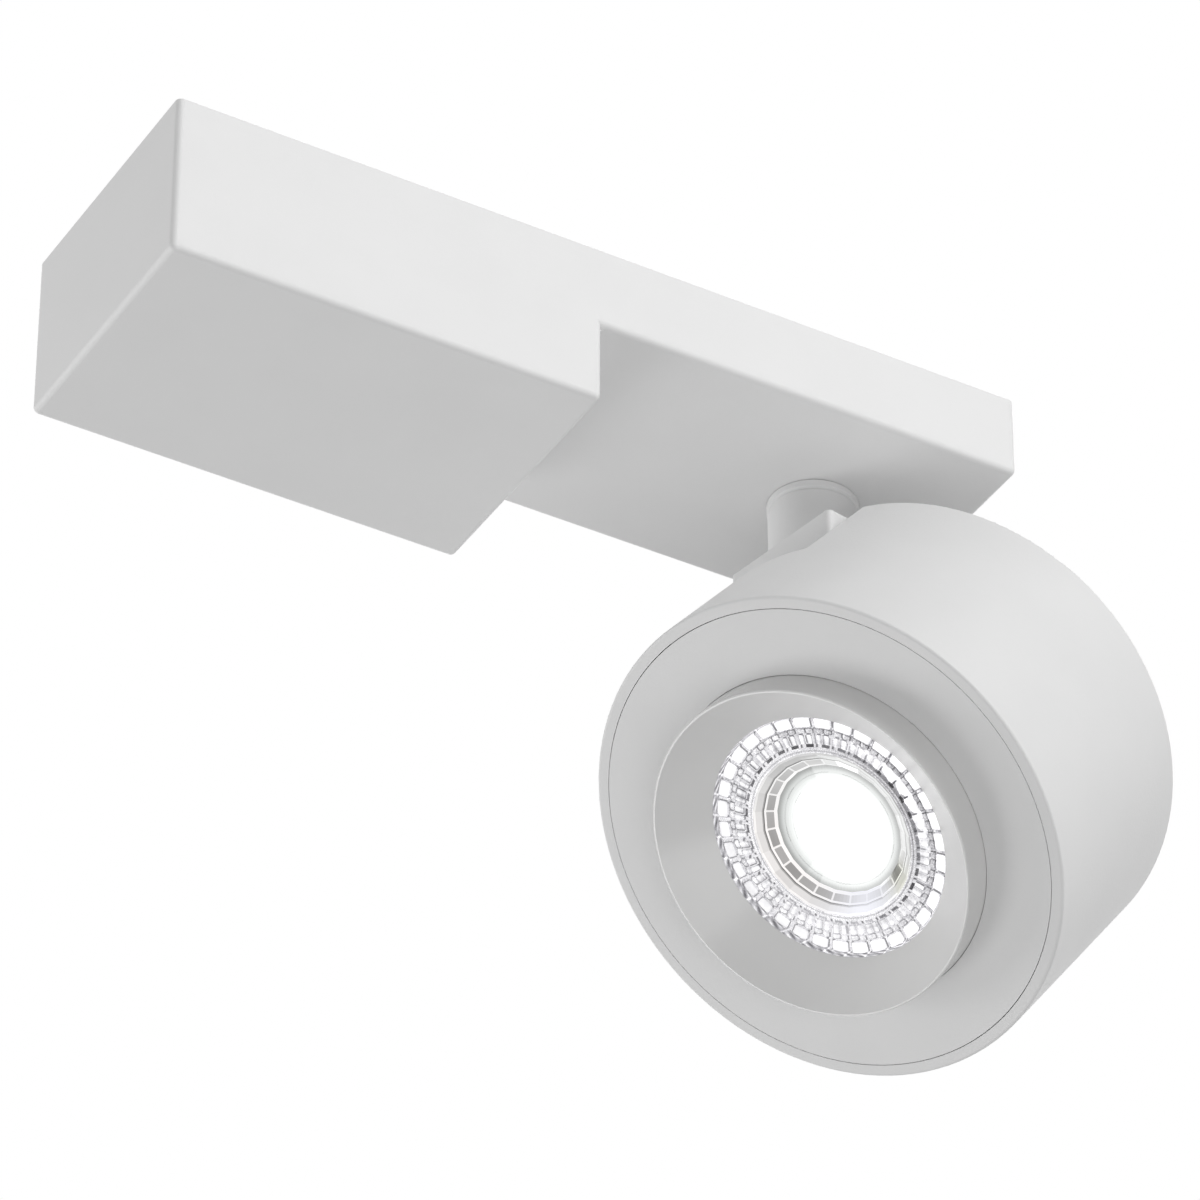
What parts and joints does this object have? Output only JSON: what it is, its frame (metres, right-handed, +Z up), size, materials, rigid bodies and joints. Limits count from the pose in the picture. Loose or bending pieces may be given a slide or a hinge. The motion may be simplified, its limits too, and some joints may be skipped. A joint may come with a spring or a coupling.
{
  "type": "adjustable surface ceiling spot",
  "caption": "Surface ceiling spot: stepped base box, short swivel post and a tilting drum-shaped head with a faceted lens in a protruding glare ring.",
  "frame": {"origin": "middle of the base's flat mounting face, in the plane of the ceiling", "axes": "+Z up into the ceiling, +X along the base towards its thin end where the head hangs, +Y towards the long side with the housing screws"},
  "size_m": [0.2154, 0.098, 0.121],
  "materials": {
    "white_coat": "matt powder coat on sheet steel",
    "white_casting": "matt powder coat on cast aluminium",
    "zinc_plate": "zinc-plated",
    "white_screw": "painted",
    "plated_steel": "zinc-plated",
    "brass": "bright",
    "grommet_rubber": "matt",
    "foam_pad": "matt foam",
    "terminal_plastic": "satin",
    "driver_plastic": "fine-grained",
    "nylon": "smooth",
    "raw_aluminium": "as extruded",
    "phosphor": "satin",
    "holder_plastic": "satin",
    "clear_acrylic": "clear, faceted"
  },
  "bodies": {
    "base": {"base_housing": "white_coat", "mounting_plate": "zinc_plate", "housing_screws": "white_screw", "cable_grommet": "grommet_rubber", "earth_stud": "plated_steel", "earth_nut": "brass", "terminal_block": "terminal_plastic", "terminal_screws": "plated_steel", "driver_pad": "foam_pad", "driver_case": "driver_plastic", "driver_cover": "driver_plastic", "swivel_collar": "white_coat", "stop_pin": "plated_steel"},
    "swivel": {"swivel_post": "white_casting", "stop_washer": "plated_steel", "wave_washer": "plated_steel", "pan_washer": "plated_steel", "pan_nut": "plated_steel"},
    "head": {"tilt_axle": "plated_steel", "tilt_nut": "plated_steel", "friction_washers": "nylon", "drum_housing": "white_casting", "heat_sink": "raw_aluminium", "heat_sink_screws": "plated_steel", "led_board": "raw_aluminium", "led_chip": "phosphor", "lens_holder": "holder_plastic", "holder_screws": "plated_steel", "lens": "clear_acrylic", "glare_ring": "white_casting", "front_plate": "white_casting"}
  },
  "joints": [
    {"name": "pan", "type": "hinge", "parent": "base", "child": "swivel", "pos_m": [0.06, 0, -0.0191], "axis": [0, 0, 1], "range_deg": [-85, 245]},
    {"name": "tilt", "type": "hinge", "parent": "swivel", "child": "head", "pos_m": [0.06, 0, -0.03785], "axis": [-0.1719, 0.9851, 0], "range_deg": [-39.3, 50.7]}
  ]
}
